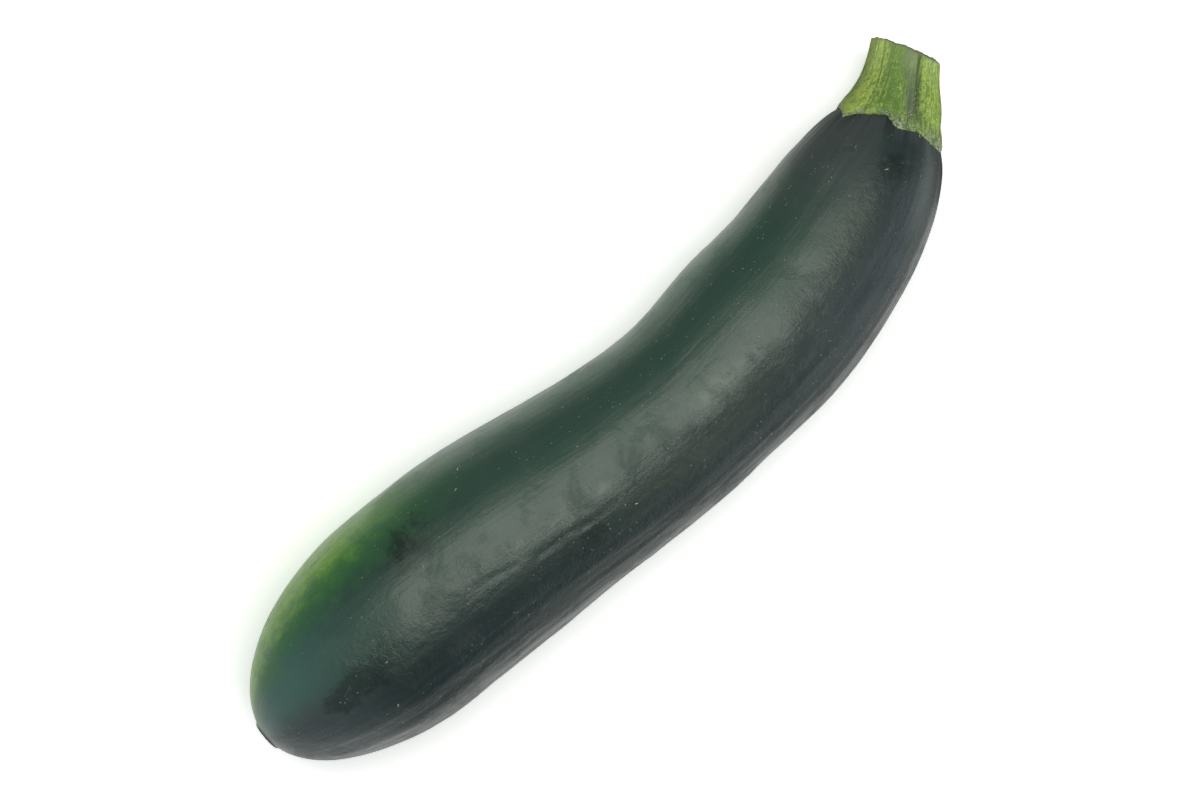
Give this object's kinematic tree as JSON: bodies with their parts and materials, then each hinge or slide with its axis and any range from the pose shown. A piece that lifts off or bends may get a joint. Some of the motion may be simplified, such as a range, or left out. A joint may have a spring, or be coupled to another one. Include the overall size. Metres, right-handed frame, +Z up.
{
  "type": "courgette",
  "caption": "Whole dark green courgette, gently bent and thicker at its blossom end, with a ribbed stub of stalk and a small corky blossom scar.",
  "frame": {"origin": "under the middle of the whole, at the height of the surface that it lies on", "axes": "+Z up; +X along the length, from the blossom end to the stalk; the hollow side of the bend faces +Y"},
  "size_m": [0.2148, 0.0618, 0.0491],
  "materials": {
    "fruit": "waxy dark green skin with a soft sheen",
    "stalk": "dull yellow-green fibrous rind"
  },
  "bodies": {
    "root": {"fruit": "fruit", "stalk": "stalk"}
  },
  "joints": []
}
